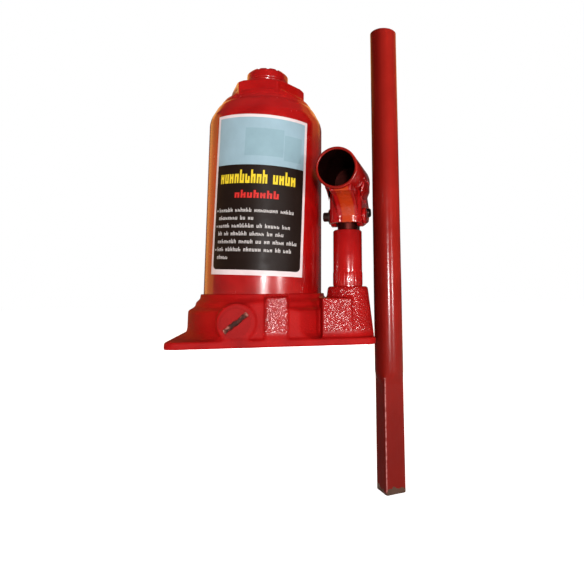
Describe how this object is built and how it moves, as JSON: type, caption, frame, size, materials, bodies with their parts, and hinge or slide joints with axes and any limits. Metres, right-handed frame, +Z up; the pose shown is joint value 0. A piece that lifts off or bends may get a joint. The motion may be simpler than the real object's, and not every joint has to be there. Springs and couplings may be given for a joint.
{
  "type": "bottle jack",
  "caption": "Small hydraulic bottle jack: cast foot, painted reservoir, screw-topped ram, side pump with a socket lever, and a loose square-tipped handle bar.",
  "frame": {"origin": "centre of the base's underside, on the ram's axis", "axes": "+Z up along the ram's axis, label towards -Y, pump and loose handle bar towards +X"},
  "size_m": [0.1132, 0.0827, 0.2385],
  "materials": {
    "red_paint": "gloss enamel over steel",
    "red_casting": "gloss enamel over rough casting",
    "handle_paint": "darker red enamel, worn at the tip",
    "label_print": "printed film",
    "bright_steel": "ground, oiled",
    "dark_steel": "oil-blacked",
    "valve_metal": "painted, worn to metal at the slot",
    "black_rubber": "moulded",
    "pale_urethane": "moulded",
    "copper": "soft annealed",
    "brass_mesh": "woven"
  },
  "bodies": {
    "jack_body": {"base_casting": "red_casting", "reservoir_tube": "red_paint", "reservoir_label": "label_print", "tank_base_gasket": "black_rubber", "tank_top_gasket": "black_rubber", "pressure_cylinder": "bright_steel", "cylinder_base_washer": "copper", "top_nut": "red_paint", "ram_wiper_seal": "black_rubber", "pump_cylinder": "red_paint", "pump_base_washer": "copper", "pump_packing": "pale_urethane", "fulcrum_lug_pin": "dark_steel", "release_ball": "bright_steel", "delivery_ball": "bright_steel", "delivery_spring": "bright_steel", "suction_ball": "bright_steel", "suction_strainer": "brass_mesh", "overload_ball": "bright_steel", "overload_spring": "bright_steel", "overload_plug": "bright_steel"},
    "ram": {"ram": "bright_steel", "piston_cup_seal": "pale_urethane", "piston_backup_washer": "bright_steel", "piston_retainer": "bright_steel"},
    "extension_screw": {"extension_screw": "bright_steel"},
    "saddle": {"saddle": "red_paint"},
    "plunger": {"pump_plunger": "bright_steel"},
    "lever": {"socket_tube": "red_paint", "clevis_bracket": "red_paint", "socket_weld": "red_paint", "plunger_pin": "dark_steel", "pin_clip": "dark_steel"},
    "link": {"fulcrum_link": "dark_steel", "link_top_pin": "dark_steel"},
    "release_valve": {"release_valve": "valve_metal", "release_oring": "black_rubber"},
    "fill_plug": {"fill_plug": "black_rubber"},
    "handle_bar": {"handle_bar": "handle_paint"}
  },
  "joints": [
    {"name": "ram_lift", "type": "slide", "parent": "jack_body", "child": "ram", "axis": [0, 0, 1], "range_m": [0, 0.08]},
    {"name": "screw_extension", "type": "slide", "parent": "ram", "child": "extension_screw", "axis": [0, 0, 1], "range_m": [0, 0.048]},
    {"name": "saddle_turn", "type": "hinge", "parent": "extension_screw", "child": "saddle", "pos_m": [0, 0, 0.138], "axis": [0, 0, 1], "range_deg": [0, 5760]},
    {"name": "plunger_stroke", "type": "slide", "parent": "jack_body", "child": "plunger", "axis": [0, 0, 1], "range_m": [-0.0009, 0.0104]},
    {"name": "lever_swing", "type": "hinge", "parent": "plunger", "child": "lever", "pos_m": [0.0413, -0.02, 0.0625], "axis": [-0.9336, 0.3584, 0], "range_deg": [-3, 38]},
    {"name": "link_sway", "type": "hinge", "parent": "jack_body", "child": "link", "pos_m": [0.04686, -0.00553, 0.022], "axis": [-0.9336, 0.3584, 0], "range_deg": [-0.7, 0.1]},
    {"name": "release_turn", "type": "hinge", "parent": "jack_body", "child": "release_valve", "pos_m": [-0.012, -0.0345, 0.0112], "axis": [0, -1, 0], "range_deg": [0, 450]},
    {"name": "fill_plug_pull", "type": "slide", "parent": "jack_body", "child": "fill_plug", "axis": [0, 1, 0], "range_m": [0, 0.012]},
    {"name": "bar_lift", "type": "slide", "parent": "jack_body", "child": "handle_bar", "axis": [0, 0, 1], "range_m": [0, 0.12]}
  ],
  "couplings": [
    {"joint": "saddle_turn", "follows": "screw_extension", "rad_per_m": 2094.4},
    {"joint": "plunger_stroke", "follows": "lever_swing", "m_per_rad": 0.0156},
    {"joint": "link_sway", "follows": "lever_swing", "ratio": -0.017}
  ]
}
